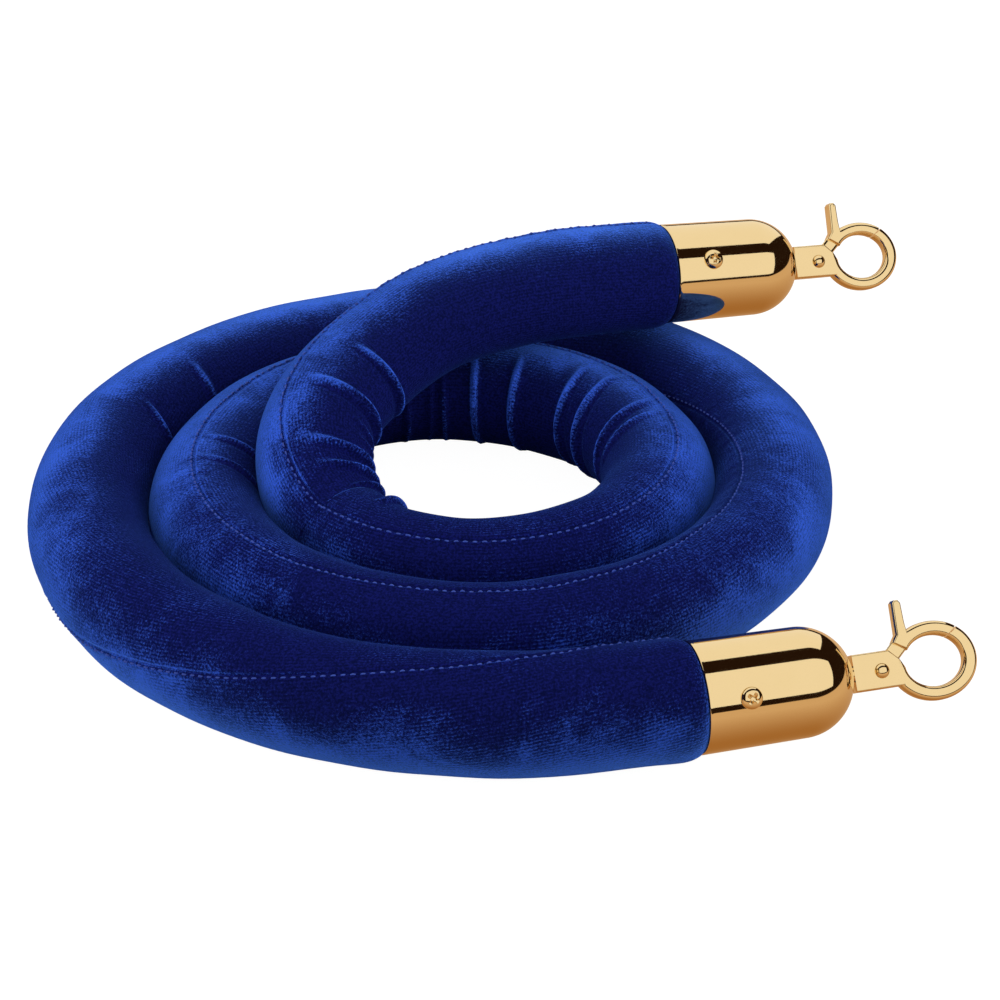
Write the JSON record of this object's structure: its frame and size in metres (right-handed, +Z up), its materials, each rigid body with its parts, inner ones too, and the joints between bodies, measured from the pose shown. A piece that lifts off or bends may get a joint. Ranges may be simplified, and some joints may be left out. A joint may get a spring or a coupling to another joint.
{
  "type": "velvet barrier rope",
  "caption": "Padded round barrier rope in a blue velvet sleeve, with domed metal end caps and a swivelling snap hook at each end, lying in loose flat turns.",
  "frame": {"origin": "centre of the whole object's bounding box, on the ground that the rope lies on", "axes": "+Z up, square to the flat turns; +X towards the two hooks; cap A's end is at -Y and cap B's, on top, at +Y"},
  "size_m": [0.3038, 0.2884, 0.0772],
  "materials": {
    "blue_velvet": "cut-pile velvet, royal blue",
    "core_fibre": "packed fibre",
    "polished_gold": "mirror polished",
    "plug_wood": "plain turned",
    "spring_steel": "bright"
  },
  "bodies": {
    "rope": {"velvet_sleeve": "blue_velvet", "rope_core": "core_fibre", "end_cap_a": "polished_gold", "end_plug_a": "plug_wood", "end_cap_b": "polished_gold", "end_plug_b": "plug_wood", "cap_screw_a_front": "polished_gold", "cap_screw_a_back": "polished_gold", "cap_screw_b_front": "polished_gold", "cap_screw_b_back": "polished_gold", "stem_washer_a": "spring_steel", "stem_washer_b": "spring_steel"},
    "snap_hook_a": {"hook_a": "polished_gold", "gate_rivet_a": "polished_gold", "gate_spring_a": "spring_steel"},
    "snap_gate_a": {"gate_a": "polished_gold"},
    "snap_hook_b": {"hook_b": "polished_gold", "gate_rivet_b": "polished_gold", "gate_spring_b": "spring_steel"},
    "snap_gate_b": {"gate_b": "polished_gold"}
  },
  "joints": [
    {"name": "swivel_a", "type": "hinge", "parent": "rope", "child": "snap_hook_a", "pos_m": [0.11188, -0.1041, 0.01835], "axis": [0.966, 0.2584, 0], "continuous": true},
    {"name": "gate_hinge_a", "type": "hinge", "parent": "snap_hook_a", "child": "snap_gate_a", "pos_m": [0.12101, -0.10184, 0.01811], "axis": [0.2064, -0.7715, 0.6018], "range_deg": [0, 30], "stiffness_Nm_per_rad": 0.05, "springref_deg": -17.19, "deforming": ["gate_spring_a"]},
    {"name": "swivel_b", "type": "hinge", "parent": "rope", "child": "snap_hook_b", "pos_m": [0.10965, 0.11561, 0.05322], "axis": [0.9419, 0.3276, -0.0745], "continuous": true},
    {"name": "gate_hinge_b", "type": "hinge", "parent": "snap_hook_b", "child": "snap_gate_b", "pos_m": [0.11854, 0.11853, 0.05227], "axis": [0.3138, -0.7788, 0.5431], "range_deg": [0, 30], "stiffness_Nm_per_rad": 0.05, "springref_deg": -17.19, "deforming": ["gate_spring_b"]}
  ]
}
